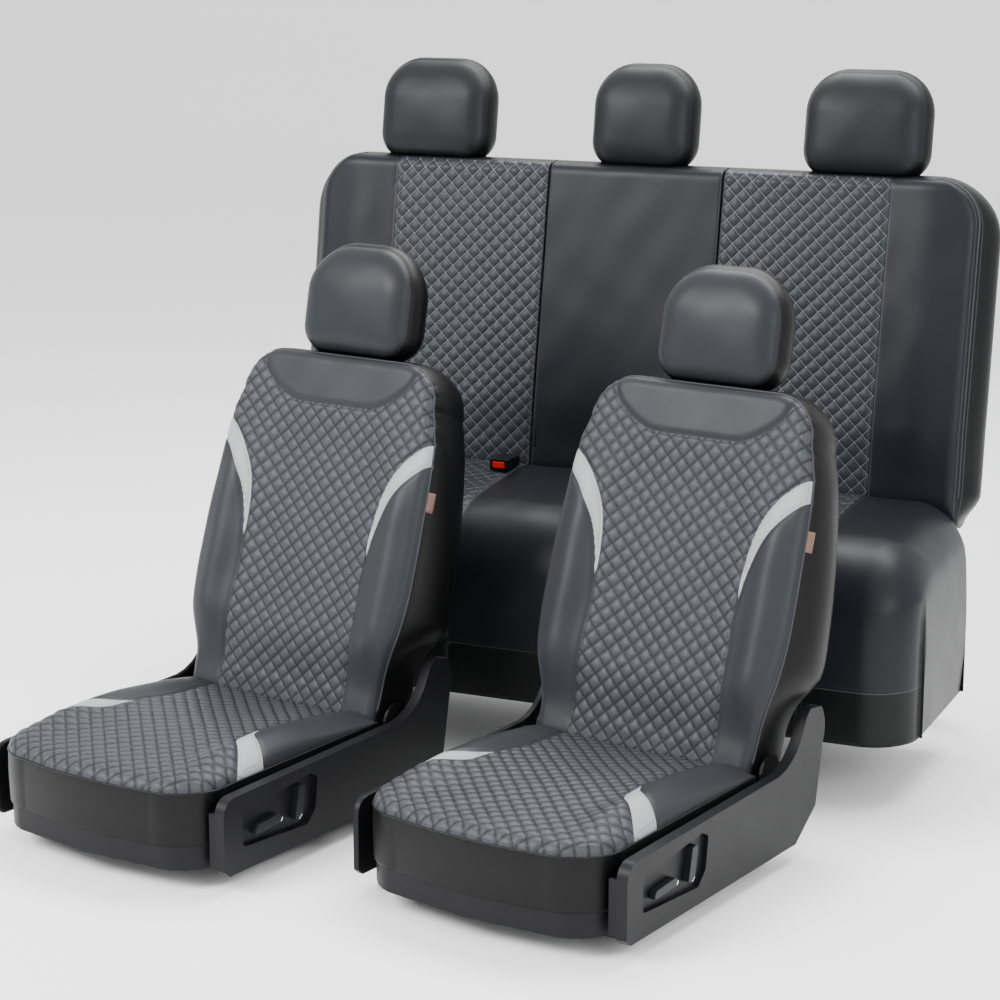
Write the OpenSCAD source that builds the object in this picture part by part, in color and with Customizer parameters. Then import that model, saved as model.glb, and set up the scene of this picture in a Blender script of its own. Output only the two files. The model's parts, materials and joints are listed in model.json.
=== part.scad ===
// Seat cover set for a crew cab: two front bucket seats and a split rear bench,
// each built as frame, foam and fitted cover, with the seats' own adjustments.
// Millimetres, +Z up, seats face -Y, +X is the driver's side.
// The origin is on the floor, in the middle of the whole set.

/* [Layout] */
// Distance between the centre lines of the two front seats
seat_spacing = 750; // [720:5:800]
// Set-back of the front seats' reference line from the middle of the set
front_row_y = -515.1; // [-520:1:-490]
// Distance from that line back to the crease of the rear bench
row_gap = 1072; // [1060:1:1100]

/* [Front seat] */
// Half the width of the front cushion cover
cushion_half_w = 247; // [240:1:250]
// Distance from the reference line forward to the front of the cushion
cushion_reach = 265; // [250:1:280]
// Height of the seam between the cushion's top and its skirt, at the front
seam_z = 180; // [172:1:190]
// Height of the lower edge of the cushion's skirt
skirt_z = 84; // [78:1:90]
// Angle of the front backrest from upright
back_lean = 20; // [16:1:22]
// Length of the front backrest above its hinge
back_len = 676; // [665:1:685]
// Turn of each front seat about an upright line, seen from above
seat_yaw = -11; // [-14:0.5:0]
// Travel of the seat on its rails
slide_travel = 200; // [150:10:210]

/* [Rear bench] */
// Half the width of the rear bench
bench_half_w = 774; // [740:1:790]
// Half the width of the rear bench's middle section
centre_half_w = 196; // [180:1:210]
// Depth of the rear cushion from its crease to its front
bench_depth = 431; // [400:1:450]
// Height of the rear hinge line
bench_hinge_z = 510; // [500:1:520]
// Length of the rear backrest above its hinge
bench_back_len = 640; // [600:1:660]
// Angle of the rear backrest from upright
bench_lean = 10; // [8:1:12]

/* [Headrests] */
// Radius of the headrest posts
post_r = 6; // [5:0.5:7]
// Distance of each post from the headrest's middle
post_x = 65; // [50:1:75]

/* [Sheets and clearances] */
// Thickness of the covers' padded cloth
cloth = 3; // [2:0.5:4]
// Gap between the foam and the cloth round it
foam_gap = 0.5; // [0.3:0.1:1]
// Thickness of the pressed steel
steel = 6; // [4:1:7]
// Radial clearance of the running fits
fit = 0.05; // [0.02:0.01:0.1]

/* [Hidden] */
$fn = 48;

front_sides = [["driver", 1], ["passenger", -1]];
front_parts = ["lower_rails", "cushion_frame", "cushion_foam", "cushion_cover", "cover_straps",
  "front_trim", "outer_valance", "inner_valance", "seat_switch", "recline_switch",
  "back_frame", "back_foam", "back_cover", "post_guides",
  "headrest_posts", "headrest_foam", "headrest_cover"];
// Each rear section: its name, its middle, half its width, and half its headrest's width
gap_x = 1;
side_mid = (bench_half_w + centre_half_w) / 2;
side_half = (bench_half_w - centre_half_w) / 2 - gap_x;
rear_sections = [
  ["rear_left", side_mid, side_half, 1, 134],
  ["rear_centre", 0, centre_half_w - gap_x, 0, 118],
  ["rear_right", -side_mid, side_half, -1, 134]];
section_parts = ["back_frame", "back_foam", "back_cover",
  "headrest_posts", "headrest_foam", "headrest_cover"];

// Front backrest: the hinge line, and half the back's thickness where it turns on it
hinge_y = 345;
hinge_z = 168;
knuckle_r = 62;
knuckle_gap = 2.5;
pin_r = 12;
// Front headrest: its middle, its lean and half its height
head_y = 578;
head_z = 926;
head_lean = 12;
head_half_h = 105;
head_half_w = 135;
head_half_t = 53;
post_t = -22;
post_low = 470;
post_high = 770;
// Rear backrest
bench_hinge_y = row_gap + 60;
bench_knuckle_r = 60;
rod_r = 10;
bench_post_t = -15;
rear_post_low = 460;
rear_post_high = 760;
bench_head_u = 748;

// Points of an arc from angle a0 to a1
function arc(cx, cy, r, a0, a1, n = 6) =
  [for (i = [0:n]) let (a = a0 + (a1 - a0) * i / n) [cx + r * cos(a), cy + r * sin(a)]];
function flip_x(pts) = [for (i = [len(pts) - 1:-1:0]) [-pts[i][0], pts[i][1]]];

// ---------- frames of reference ----------
yaw_y = 112;
// The pair of front seats stands a little off the bench's middle
pair_x = -53;
pair_y = 10.3;
module front_seat(side) translate([side * seat_spacing / 2 + pair_x, front_row_y + yaw_y + pair_y, 0])
  rotate([0, 0, seat_yaw]) translate([0, -yaw_y, 0]) children();
module on_front_back() translate([0, hinge_y, hinge_z]) rotate([-back_lean, 0, 0]) children();
module on_front_head() translate([0, head_y, head_z]) rotate([-head_lean, 0, 0]) children();
module bench() translate([0, front_row_y, 0]) children();
module on_bench_back(x = 0) translate([x, bench_hinge_y, bench_hinge_z])
  rotate([-bench_lean, 0, 0]) children();
// A side profile drawn in Y and Z, carried along X from x0 to x1
module along_x(x0, x1) translate([x0, 0, 0]) rotate([90, 0, 90]) linear_extrude(x1 - x0) children();
// A front outline drawn in X and Z, carried along Y from y0 to y1
module along_y(y0, y1) translate([0, y1, 0]) rotate([90, 0, 0]) linear_extrude(y1 - y0) children();

// ---------- front cushion ----------
// Side profile of the cushion, e inside its outer skin, down to height lo
function cushion_side(e, lo, rear) =
  let (crown = 214, front_r = 42)
  concat(
    [[-cushion_reach + e, lo]],
    arc(-cushion_reach + front_r, seam_z - 20, front_r - e, 180, 100, 5),
    arc(-40, -560, 560 + crown - e, 101, 79, 6),
    [for (p = arc(hinge_y, hinge_z, knuckle_r + knuckle_gap + e, 152, 205, 5)) if (p[0] < rear) p],
    [[rear, 120], [rear, lo]]);
// Plan outline of the cushion: rounded front corners and a slightly bowed front
function cushion_plan(e) =
  let (w = cushion_half_w - e, r = 95, bow = 14,
    right = concat([[w, 400]], arc(w - r, -cushion_reach + bow + r + e, r, 0, -75, 6)))
  concat(right, [[0, -cushion_reach + e]], flip_x(right));
module cushion_solid(e, lo, rear) {
  intersection() {
    along_x(-cushion_half_w, cushion_half_w) polygon(cushion_side(e, lo, rear));
    linear_extrude(400) polygon(cushion_plan(e));
  }
}
cushion_rear = 286;
riser_in = 238;
module cushion_cover() {
  color("#3d4048") difference() {
    cushion_solid(0, skirt_z, cushion_rear);
    cushion_solid(cloth, skirt_z - 10, cushion_rear - cloth);
    // slots that the hinge risers pass through
    for (s = [-1, 1]) along_x(s > 0 ? riser_in - 0.5 : -riser_in - steel, s > 0 ? riser_in + steel : -riser_in + 0.5)
      polygon([[270, skirt_z - 5], [cushion_rear + 4, skirt_z - 5], [cushion_rear + 4, 125], [270, 125]]);
  }
}
pan_z = 81;
foam_rear = 254;
module cushion_foam() {
  color("#c9c3a8") difference() {
    cushion_solid(cloth + foam_gap, skirt_z + 4, foam_rear);
    // clear of the hinge risers at the sides
    for (s = [-1, 1]) translate([s * 242 - 6, 230, 0]) cube([12, 60, 300]);
  }
}

// ---------- rails and cushion frame ----------
rail_x = 185;
rail_front = -60;
rail_len = 410;
rail_w = 44;
rail_h = 24;
foot = 6;
foot_y = [-85, 375];
bolt_r = 5.5;
module lower_rails() {
  color("#3a3b3d") for (s = [-1, 1]) translate([s * rail_x, 0, 0]) {
    // lipped channel, open along its top
    translate([0, rail_front + rail_len, foot]) rotate([90, 0, 0]) linear_extrude(rail_len)
      polygon([[-22, 0], [22, 0], [22, rail_h], [8, rail_h], [8, rail_h - 3], [19, rail_h - 3],
        [19, 3], [-19, 3], [-19, rail_h - 3], [-8, rail_h - 3], [-8, rail_h], [-22, rail_h]]);
    // floor brackets, each with a bolt hole
    for (y = foot_y) difference() {
      translate([-rail_w / 2, y - 30, 0]) cube([rail_w, 60, foot]);
      translate([0, y, -1]) cylinder(r = bolt_r, h = foot + 2);
    }
    translate([-rail_w / 2, rail_front, 0]) cube([rail_w, 30, foot]);
    translate([-rail_w / 2, rail_front + rail_len - 30, 0]) cube([rail_w, 30, foot]);
  }
}
module cushion_frame() {
  color("#2d2e30") {
    for (s = [-1, 1]) {
      // upper rail: a flange held in the lower channel, with its web and top plate
      translate([s * rail_x, rail_front + rail_len - 15, 0]) rotate([90, 0, 0])
        linear_extrude(rail_len - 20)
        polygon([[-17, 12], [17, 12], [17, 22], [5, 22], [5, 38], [15, 38], [15, 44], [-15, 44],
          [-15, 38], [-5, 38], [-5, 22], [-17, 22]]);
      // pressed riser that carries the hinge pin
      along_x(s > 0 ? riser_in : -riser_in - steel, s > 0 ? riser_in + steel : -riser_in)
        polygon(concat([[262, 50], [400, 50], [392, 110]], arc(hinge_y, hinge_z, 34, -10, 190, 10),
          [[275, 100]]));
      // hinge pin, pointing inwards
      translate([s * (riser_in + 1), hinge_y, hinge_z]) rotate([0, -s * 90, 0])
        cylinder(r = pin_r, h = 26);
    }
    // cross members on the rails
    for (y = [-145, 210]) translate([-225, y, 44]) cube([450, 40, pan_z - 44]);
    translate([-riser_in - steel, 262, 50]) cube([2 * (riser_in + steel), 40, 16]);
    translate([-225, 250, 50]) cube([450, 12, pan_z + steel - 50]);
    // seat pan
    translate([-225, -190, pan_z]) cube([450, 452, steel]);
  }
}
module cover_straps() {
  // elastic straps under the pan, from one side of the skirt to the other
  strap_half = cushion_half_w - cloth - 0.5;
  strap_z = 50.5;
  strap_t = 2;
  color("#1c1c1e") for (y = [-80, 30, 140]) {
    translate([-strap_half, y - 15, strap_z]) cube([2 * strap_half, 30, strap_t]);
    // each end turns up to the skirt's lower edge
    for (s = [-1, 1]) translate([s * (strap_half - strap_t / 2) - strap_t / 2, y - 15, strap_z])
      cube([strap_t, 30, skirt_z + 2 - strap_z]);
  }
}
module front_trim() {
  // moulded band under the front of the skirt
  trim_z = 38;
  inset = 3;
  wall = 4;
  color("#26272a") translate([0, 0, trim_z]) linear_extrude(skirt_z - trim_z - 0.4) difference() {
    intersection() {
      polygon(cushion_plan(inset));
      translate([-300, -300]) square([600, 200]);
    }
    polygon(cushion_plan(inset + wall));
  }
}

// ---------- side valances and switches ----------
valance_in = 265.5;
valance_out = 287;
function valance_side() = concat(
  [[-208, 45], [-195, 34], [368, 34], [440, 88]],
  arc(400, 232, 68, -25, 38, 5),
  [[438, 276], [412, 280], [398, 268]],
  arc(288, 290, 108, -20, -85, 5),
  arc(-178, 146, 30, 90, 180, 4));
pocket = [[-158, 78], [20, 66], [44, 90], [52, 150], [30, 160], [-158, 140]];
module outer_valance() {
  color("#333538") {
    difference() {
      along_x(valance_in, valance_out) polygon(valance_side());
      // recess for the switches
      along_x(valance_out - 9, valance_out + 5) offset(r = 8) offset(delta = -8) polygon(pocket);
      // slots for the two stems
      translate([valance_in - 5, -106, 94]) cube([30, 32, 10]);
      translate([valance_in - 5, -12, 98]) rotate([0, 90, 0]) cylinder(r = 8, h = 30);
    }
    // ribs that stand on the seat frame's side
    for (y = [-120, 120]) translate([248, y, 60]) cube([valance_in - 248, 20, 60]);
    // front return, round the corner
    translate([248, -203, 46]) cube([valance_in - 247, 8, 100]);
  }
}
module inner_valance() {
  color("#333538") {
    along_x(-valance_in - 12, -valance_in) polygon(valance_side());
    for (y = [-120, 120]) translate([-valance_in, y, 60]) cube([valance_in - 248, 20, 60]);
  }
}
switch_gap = 0.6;
module seat_switch() {
  // horizontal switch: slides fore and aft
  x = valance_out - 9 + switch_gap;
  color("#1f2022") {
    along_x(x, x + 13) polygon([[-126, 92], [-60, 95], [-54, 104], [-62, 111], [-122, 107], [-129, 99]]);
    translate([x - 10, -97, 96]) cube([11, 14, 6]);
  }
}
module recline_switch() {
  // upright switch: tilts about its stem
  x = valance_out - 9 + switch_gap;
  color("#1f2022") {
    along_x(x, x + 12) polygon([[-18, 88], [-8, 84], [2, 92], [12, 140], [6, 148], [-6, 145]]);
    translate([x - 10, -12, 98]) rotate([0, 90, 0]) cylinder(r = 5, h = 11);
  }
}

// ---------- front backrest ----------
// Half the width of the backrest at height u above the hinge: narrow at the hinge, widest
// at the bolsters, and sloping in to the shoulders
hip_half = 234;
bolster_half = 296;
bulge_u = 92;
widest_u = 200;
// Where the shoulder's arc begins
shoulder_r = 85;
shoulder_x = 148;
shoulder_in = 60;
function back_half(u) =
  u < bulge_u ? hip_half
  : u < widest_u ? hip_half + (bolster_half - hip_half) * (1 - cos(180 * (u - bulge_u) / (widest_u - bulge_u))) / 2
  : bolster_half - shoulder_in * pow((u - widest_u) / 390, 2.2);
function back_front(e) =
  let (last = back_len - shoulder_r,
    right = concat([[hip_half - e, -80], [hip_half - e, bulge_u]],
      [for (i = [1:9]) let (u = bulge_u + i * (last - bulge_u) / 9.4) [back_half(u) - e, u]],
      arc(shoulder_x, last, shoulder_r - e, 4, 88, 6)))
  concat(right, flip_x(right));
// Plan of the backrest: its sides swell out behind the front seams
function back_plan(e) =
  let (front = -80, seam_half = 262, swell_t = -8,
    right = [[bolster_half + 2 - e, 120], [bolster_half + 2 - e, swell_t], [seam_half - e, front + e]])
  concat(right, flip_x(right));
// Side profile: round its hinge at the bottom, thinner at the top
rear_top_t = 50;
function back_side(e) =
  let (r = 34, f = 80)
  concat(
    arc(0, 0, knuckle_r - e, 180, 360, 12),
    arc(rear_top_t - r, back_len - r, r - e, 5, 90, 5),
    arc(-f + r, back_len - r, r - e, 90, 180, 5),
    [[-f + e, 135], [-knuckle_r + e, 92]]);
module back_solid(e) {
  intersection() {
    along_y(-120, 120) polygon(back_front(e));
    along_x(-300, 300) polygon(back_side(e));
    translate([0, 0, -100]) linear_extrude(back_len + 200) polygon(back_plan(e));
  }
}
guide_r = 11;
module back_cover() {
  color("#3d4048") difference() {
    back_solid(0);
    back_solid(cloth);
    // the hinge pins pass through the sides
    translate([-300, 0, 0]) rotate([0, 90, 0]) cylinder(r = pin_r + 3, h = 600);
    for (s = [-1, 1]) translate([s * post_x, post_t, back_len - 60]) cylinder(r = guide_r + 0.5, h = 80);
  }
}
frame_t = 28;
frame_half = 205;
shelf_half = 110;
boss_end = 229;
module back_frame() {
  color("#2d2e30") difference() {
    union() {
      // pressed back panel with side flanges
      translate([-frame_half, frame_t, -20]) cube([2 * frame_half, steel, 480]);
      translate([-frame_half + 60, frame_t, 459]) cube([2 * frame_half - 120, steel, 121]);
      for (s = [-1, 1]) {
        translate([s * (frame_half + steel / 2) - steel / 2, -20, -24]) cube([steel, 54, 484]);
        translate([s * frame_half, 0, 0]) rotate([0, s * 90, 0]) cylinder(r = 24, h = boss_end - frame_half);
      }
      // shelf and sockets for the headrest guides
      translate([-shelf_half, post_t - 14, 540]) cube([2 * shelf_half, frame_t - post_t + 15, 12]);
      for (s = [-1, 1]) translate([s * post_x, post_t, 500]) cylinder(r = 14, h = 130);
    }
    for (s = [-1, 1]) {
      translate([s * post_x, post_t, 490]) cylinder(r = guide_r + fit, h = 140);
      translate([s * (frame_half - 20), 0, 0]) rotate([0, s * 90, 0]) cylinder(r = pin_r + fit, h = 60);
    }
  }
}
module back_foam() {
  g = foam_gap;
  color("#c9c3a8") difference() {
    back_solid(cloth + g);
    // room for the frame's panel, its flanges, bosses, sockets and shelf
    translate([-frame_half - g, frame_t - g, -20 - g]) cube([2 * (frame_half + g), steel + 2 * g, 480 + 2 * g]);
    translate([-frame_half + 60 - g, frame_t - g, 458]) cube([2 * (frame_half - 60 + g), steel + 2 * g, 122 + g]);
    for (s = [-1, 1]) {
      translate([s * (frame_half + steel / 2) - steel / 2 - g, -20 - g, -24 - g]) cube([steel + 2 * g, 54 + 2 * g, 484 + 2 * g]);
      translate([s * (frame_half - 3), 0, 0]) rotate([0, s * 90, 0]) cylinder(r = 24 + g, h = 60);
      translate([s * post_x, post_t, 490]) cylinder(r = 14 + g, h = 200);
      translate([s * post_x, post_t, post_low - 3]) cylinder(r = post_r + 1, h = 100);
    }
    translate([-shelf_half - g, post_t - 14 - g, 540 - g])
      cube([2 * (shelf_half + g), frame_t - post_t + 15 + 2 * g, 12 + 2 * g]);
  }
}
module post_guides() {
  color("#1b1b1d") for (s = [-1, 1]) translate([s * post_x, post_t, 0]) difference() {
    union() {
      translate([0, 0, 500]) cylinder(r = guide_r, h = back_len - 500 + 1);
      translate([0, 0, back_len + 0.5]) cylinder(r = 15, h = 6);
    }
    translate([0, 0, 490]) cylinder(r = post_r + fit, h = 200);
  }
}

// ---------- headrests ----------
function head_front(e, w, h) =
  let (rt = 78, rb = 46,
    right = concat(arc(w - 16 - rb, -h + rb, rb - e, -88, 10, 6), arc(w - rt, h - rt, rt - e, 5, 84, 7)))
  concat(right, flip_x(right));
function head_side(e, h, t) =
  let (r = 40)
  concat(arc(t - r, -h + r, r - e, -90, 0, 5), arc(t - r - 8, h - r, r - e, 0, 90, 5),
    arc(-t + r + 8, h - r, r - e, 90, 180, 5), arc(-t + r, -h + r, r - e, 180, 270, 5));
module head_solid(e, w, h, t) {
  intersection() {
    along_y(-80, 80) polygon(head_front(e, w, h));
    along_x(-200, 200) polygon(head_side(e, h, t));
  }
}
// Posts in the backrest's frame of reference: two rods and the bar that joins them in the foam
module post_rods(x, t, u0, u1, grow = 0) {
  for (s = [-1, 1]) translate([s * x, t, u0]) cylinder(r = post_r + grow, h = u1 - u0 + post_r + grow);
  translate([-x, t, u1]) rotate([0, 90, 0]) cylinder(r = post_r - 1 + grow, h = 2 * x);
}
module headrest_posts() color("silver") on_front_back() post_rods(post_x, post_t, post_low, post_high);
module headrest_foam() color("#c9c3a8") difference() {
  on_front_head() head_solid(cloth + foam_gap, head_half_w, head_half_h, head_half_t);
  on_front_back() post_rods(post_x, post_t, post_low, post_high, 0.3);
}
module headrest_cover() color("#3a3d44") difference() {
  on_front_head() head_solid(0, head_half_w, head_half_h, head_half_t);
  on_front_head() head_solid(cloth, head_half_w, head_half_h, head_half_t);
  on_front_back() for (s = [-1, 1]) translate([s * post_x, post_t, post_low]) cylinder(r = post_r + 1, h = 260);
}

// ---------- rear bench ----------
bench_skirt_z = 120;
bench_front = row_gap - bench_depth;
bench_rear = row_gap - 5;
function bench_side(e, lo, rear) = concat(
  [[bench_front + e, lo]],
  arc(bench_front + 170, 332, 170 - e, 180, 92, 9),
  arc(rear + e - 24, bench_hinge_z - 19, 24 - e, 90, 0, 4),
  [[rear, lo]]);
function bench_plan(e) =
  let (w = bench_half_w - e, r = 130,
    right = concat([[w, 1300]], arc(w - r, bench_front + r + 12 + e, r, 0, -85, 7)))
  concat(right, [[0, bench_front + e]], flip_x(right));
// The ends are rounded over, as seen from the front
function bench_face(e) =
  let (w = bench_half_w - e, r = 110,
    right = concat([[w, 0]], arc(w - r + e, bench_hinge_z + 10 - r, r - e, 0, 88, 7)))
  concat(right, flip_x(right));
module bench_solid(e, lo, rear) {
  intersection() {
    along_x(-bench_half_w, bench_half_w) polygon(bench_side(e, lo, rear));
    linear_extrude(700) polygon(bench_plan(e));
    along_y(400, 1300) polygon(bench_face(e));
  }
}
buckle_x = -215;
buckle_y = 985;
slit = [-300, -140];
module rear_cushion_cover() {
  color("#2e3036") difference() {
    bench_solid(0, bench_skirt_z, bench_rear);
    bench_solid(cloth, bench_skirt_z - 10, bench_rear - cloth);
    // slit that the belt stalk comes out of
    translate([buckle_x - 15, 1024, bench_hinge_z - 30]) cube([30, 10, 60]);
  }
}
bench_pan_z = 120;
module rear_cushion_foam() {
  color("#c9c3a8") difference() {
    bench_solid(cloth + foam_gap, bench_pan_z + steel + 0.5, bench_rear - cloth - foam_gap);
    translate([buckle_x - 15, 1024, 400]) cube([30, 10, 200]);
  }
}
leg_x = 430;
leg_y = [800, 1240];
leg_w = 40;
rod_half = 740;
bracket_x = 672;
beam_half = 680;
pan_half = 724;
module rear_frame() {
  color("#2d2e30") difference() {
    union() {
      for (s = [-1, 1], y = leg_y) {
        translate([s * leg_x - leg_w / 2, y - leg_w / 2, 0]) cube([leg_w, leg_w, 100]);
        translate([s * leg_x - 45, y - 22, 0]) cube([90, 44, foot]);
      }
      // base tubes
      for (s = [-1, 1]) translate([s * leg_x - leg_w / 2, 780, 84]) cube([leg_w, 480, 36]);
      for (y = leg_y) translate([-leg_x, y - leg_w / 2, 84]) cube([2 * leg_x, leg_w, 36]);
      // seat pan on the tubes
      translate([-pan_half, 700, bench_pan_z - 0.5]) cube([2 * pan_half, 350, steel]);
      // rear cross beam and the two hinge brackets
      translate([-beam_half, 1200, 84]) cube([2 * beam_half, 60, 36]);
      for (s = [-1, 1]) along_x(s > 0 ? bracket_x : -bracket_x - 8, s > 0 ? bracket_x + 8 : -bracket_x)
        polygon(concat([[1200, 84], [1260, 84]], arc(bench_hinge_y, bench_hinge_z, 20, 0, 180, 10)));
      translate([-rod_half, bench_hinge_y, bench_hinge_z]) rotate([0, 90, 0])
        cylinder(r = rod_r, h = 2 * rod_half);
    }
    for (s = [-1, 1], y = leg_y) translate([s * (leg_x + 33), y, -1]) cylinder(r = bolt_r, h = foot + 2);
  }
}

// Rear backrest sections; outer is +1 or -1 for the end ones and 0 in the middle
side_trim = 10;
function section_front(e, half, outer) =
  let (r = outer == 0 ? 24 : 92, top = bench_back_len - e, w = half - e,
    plain = concat([[w, -70], [w, top - 12]], arc(w - 12, top - 12, 12, 30, 90, 2)),
    round_end = concat([[w - side_trim, -70], [w - side_trim, 40], [w, 110]],
      arc(w - r + e, top - r, r - e, 0, 86, 7)),
    right = outer > 0 ? round_end : plain,
    left = outer < 0 ? flip_x(round_end) : flip_x(plain))
  concat(right, left);
function section_side(e) =
  let (r = 36)
  concat(arc(0, 0, bench_knuckle_r - e, 180, 360, 12),
    arc(48 - r, bench_back_len - r, r - e, 5, 90, 5),
    arc(-bench_knuckle_r + r, bench_back_len - r, r - e, 90, 180, 5));
module section_solid(e, half, outer) {
  intersection() {
    along_y(-120, 120) polygon(section_front(e, half, outer));
    along_x(-400, 400) polygon(section_side(e));
  }
}
section_frame_t = 30;
// Slot under an end section's hinge, where the bench's bracket reaches the rod
module bracket_slot(outer) {
  if (outer != 0) translate([outer * (bracket_x + 4 - side_mid) - 8, -36, -80]) cube([16, 120, 108]);
}
module section_cover(half, outer) {
  color("#2e3036") difference() {
    section_solid(0, half, outer);
    section_solid(cloth, half, outer);
    translate([-400, 0, 0]) rotate([0, 90, 0]) cylinder(r = rod_r + 7, h = 800);
    for (s = [-1, 1]) translate([s * post_x, bench_post_t, bench_back_len - 60]) cylinder(r = guide_r + 0.5, h = 90);
    bracket_slot(outer);
  }
}
module section_frame(half, outer) {
  w = half - side_trim - 12;
  color("#2d2e30") difference() {
    union() {
      translate([-w, section_frame_t, -10]) cube([2 * w, steel, 590]);
      // hinge tube and the web that joins it to the panel
      translate([-w, 0, 0]) rotate([0, 90, 0]) cylinder(r = 16, h = 2 * w);
      translate([-w, 0, -5]) cube([2 * w, section_frame_t + 1, 10]);
      // shelf and headrest sockets
      translate([-post_x - 20, bench_post_t - 16, 540]) cube([2 * post_x + 40, section_frame_t - bench_post_t + 18, 12]);
      for (s = [-1, 1]) translate([s * post_x, bench_post_t, 500]) {
        cylinder(r = guide_r, h = bench_back_len - 499);
        translate([0, 0, bench_back_len - 499.5]) cylinder(r = 15, h = 4);
      }
    }
    translate([-w - 5, 0, 0]) rotate([0, 90, 0]) cylinder(r = rod_r + fit, h = 2 * w + 10);
    for (s = [-1, 1]) translate([s * post_x, bench_post_t, 490]) cylinder(r = post_r + fit, h = 200);
    bracket_slot(outer);
  }
}
module section_foam(half, outer) {
  g = foam_gap;
  w = half - side_trim - 12;
  color("#c9c3a8") difference() {
    section_solid(cloth + g, half, outer);
    translate([-w - g, section_frame_t - g, -10 - g]) cube([2 * (w + g), steel + 2 * g, 590 + 2 * g]);
    translate([-400, 0, 0]) rotate([0, 90, 0]) cylinder(r = 16 + g, h = 800);
    translate([-w - g, 0, -5 - g]) cube([2 * (w + g), section_frame_t + 2, 10 + 2 * g]);
    translate([-post_x - 20 - g, bench_post_t - 16 - g, 540 - g])
      cube([2 * (post_x + 20 + g), section_frame_t - bench_post_t + 18 + 2 * g, 12 + 2 * g]);
    for (s = [-1, 1]) translate([s * post_x, bench_post_t, 0]) {
      translate([0, 0, 490]) cylinder(r = guide_r + g, h = 200);
      translate([0, 0, rear_post_low - 3]) cylinder(r = post_r + 1, h = 100);
    }
    bracket_slot(outer);
  }
}
module rear_head_at() translate([0, bench_post_t - 8, bench_head_u]) children();
module section_posts() color("silver") post_rods(post_x, bench_post_t, rear_post_low, rear_post_high);
module section_head_foam(w) color("#c9c3a8") difference() {
  rear_head_at() head_solid(cloth + foam_gap, w, head_half_h - 2, head_half_t);
  post_rods(post_x, bench_post_t, rear_post_low, rear_post_high, 0.3);
}
module section_head_cover(w) color("#26282d") difference() {
  rear_head_at() head_solid(0, w, head_half_h - 2, head_half_t);
  rear_head_at() head_solid(cloth, w, head_half_h - 2, head_half_t);
  for (s = [-1, 1]) translate([s * post_x, bench_post_t, rear_post_low]) cylinder(r = post_r + 1, h = 260);
}
module zip(s) {
  // slim closed zip along the edge of the middle section
  color("#101012") translate([s * (centre_half_w - gap_x - 5) - 4, -bench_knuckle_r - 3, 30])
    cube([8, 3, bench_back_len - 80]);
}

// ---------- belt buckle ----------
module rear_buckle() {
  color("#141415") difference() {
    union() {
      translate([buckle_x - 20, buckle_y - 35, 521]) cube([40, 66, 22]);
      translate([buckle_x - 12, buckle_y + 30, 521.5]) cube([24, 22, 3]);
      // webbing stalk, down through the slit
      translate([buckle_x - 12, 1026, bench_hinge_z - 40]) cube([24, 5, 54]);
      translate([buckle_x - 12, 1016, 521.5]) cube([24, 15, 3]);
    }
    // the button's pocket at the open end
    translate([buckle_x - 14, buckle_y - 36, 525]) cube([28, 20, 14]);
  }
}
module rear_buckle_button() {
  color("#c8201c") translate([buckle_x - 13.5, buckle_y - 37, 525.5]) cube([27, 15, 13]);
}

// ---------- the assembly ----------
for (s = front_sides) front_seat(s[1]) {
  lower_rails();
  cushion_frame();
  cushion_foam();
  cushion_cover();
  cover_straps();
  front_trim();
  outer_valance();
  inner_valance();
  seat_switch();
  recline_switch();
  on_front_back() back_frame();
  on_front_back() back_foam();
  on_front_back() back_cover();
  on_front_back() post_guides();
  headrest_posts();
  headrest_foam();
  headrest_cover();
}
for (s = rear_sections) bench() on_bench_back(s[1]) {
  section_frame(s[2], s[3]);
  section_foam(s[2], s[3]);
  section_cover(s[2], s[3]);
  section_posts();
  section_head_foam(s[4]);
  section_head_cover(s[4]);
}
bench() {
  on_bench_back() zip(1);  // rear_zip_left
  on_bench_back() zip(-1);  // rear_zip_right
  rear_frame();
  rear_cushion_foam();
  rear_cushion_cover();
  rear_buckle();
  rear_buckle_button();
}
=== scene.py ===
# %% [markdown]
# # A fitted seat cover set, dressed on its seats
# The set is a pair of front bucket covers and a three-part rear bench cover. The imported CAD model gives
# every place and every moving body, so the scene starts by loading it. Each piece is drawn in the frame of
# the joint that it belongs to.

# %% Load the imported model
import json
import math
import bpy
import bmesh
import numpy as np
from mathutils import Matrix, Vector


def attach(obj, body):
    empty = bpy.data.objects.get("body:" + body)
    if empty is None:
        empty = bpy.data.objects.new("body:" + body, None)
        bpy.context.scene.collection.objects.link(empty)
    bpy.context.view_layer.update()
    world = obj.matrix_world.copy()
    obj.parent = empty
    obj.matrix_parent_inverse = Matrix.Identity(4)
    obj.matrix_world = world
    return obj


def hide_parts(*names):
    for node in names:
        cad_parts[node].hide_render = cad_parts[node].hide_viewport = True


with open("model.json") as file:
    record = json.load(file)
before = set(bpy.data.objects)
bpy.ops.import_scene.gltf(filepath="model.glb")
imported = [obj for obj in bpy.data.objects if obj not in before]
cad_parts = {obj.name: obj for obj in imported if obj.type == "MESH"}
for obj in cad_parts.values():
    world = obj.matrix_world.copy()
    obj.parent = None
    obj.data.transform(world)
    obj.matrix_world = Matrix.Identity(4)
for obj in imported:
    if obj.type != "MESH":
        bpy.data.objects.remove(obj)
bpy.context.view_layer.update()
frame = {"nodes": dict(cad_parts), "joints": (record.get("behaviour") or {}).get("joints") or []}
joints = {joint["name"]: joint for joint in frame["joints"]}

# %% [markdown]
# ## Frames of reference
# A seat is easiest to draw in its own millimetres: across, then depth, then height. A joint in the record
# says where its hinge is and which way it turns, so two directions from the joints make each frame.

# %% Seat frames from the joints
MM = 0.001


def unit(v):
    """The vector v at length one."""
    v = np.array(v, float)
    return v / np.linalg.norm(v)


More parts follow.
